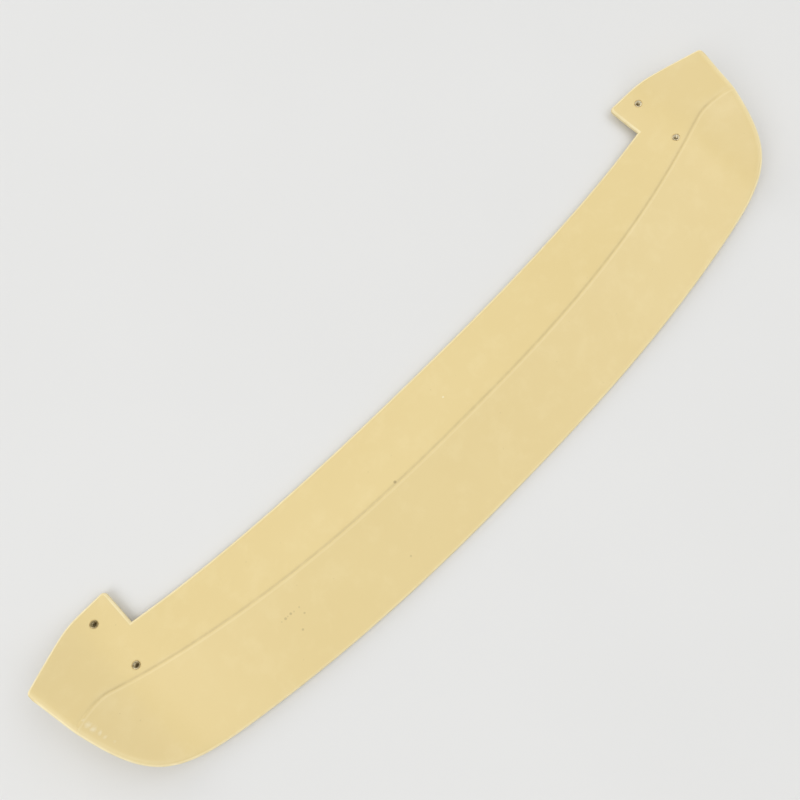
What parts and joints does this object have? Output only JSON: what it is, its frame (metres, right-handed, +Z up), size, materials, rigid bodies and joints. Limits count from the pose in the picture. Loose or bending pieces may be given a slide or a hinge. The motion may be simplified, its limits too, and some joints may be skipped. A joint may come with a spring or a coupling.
{
  "type": "roof spoiler",
  "caption": "Arched one-piece moulded roof spoiler with stepped fixing ears, a low crease and swept up ends, lying with its fixing side up, with threaded inserts.",
  "frame": {"origin": "middle of the bounding box, on the ground that the part lies on", "axes": "+X across the car, along the spoiler's length; +Y from the convex rear edge to the ears at the front; +Z up, out of the side that the inserts open to"},
  "size_m": [1.068, 0.2476, 0.0578],
  "materials": {
    "paint": "cream yellow body paint, satin gloss",
    "steel": "zinc plated"
  },
  "bodies": {
    "root": {"spoiler_shell": "paint", "insert_left_front": "steel", "insert_left_rear": "steel", "insert_right_front": "steel", "insert_right_rear": "steel"}
  },
  "joints": []
}
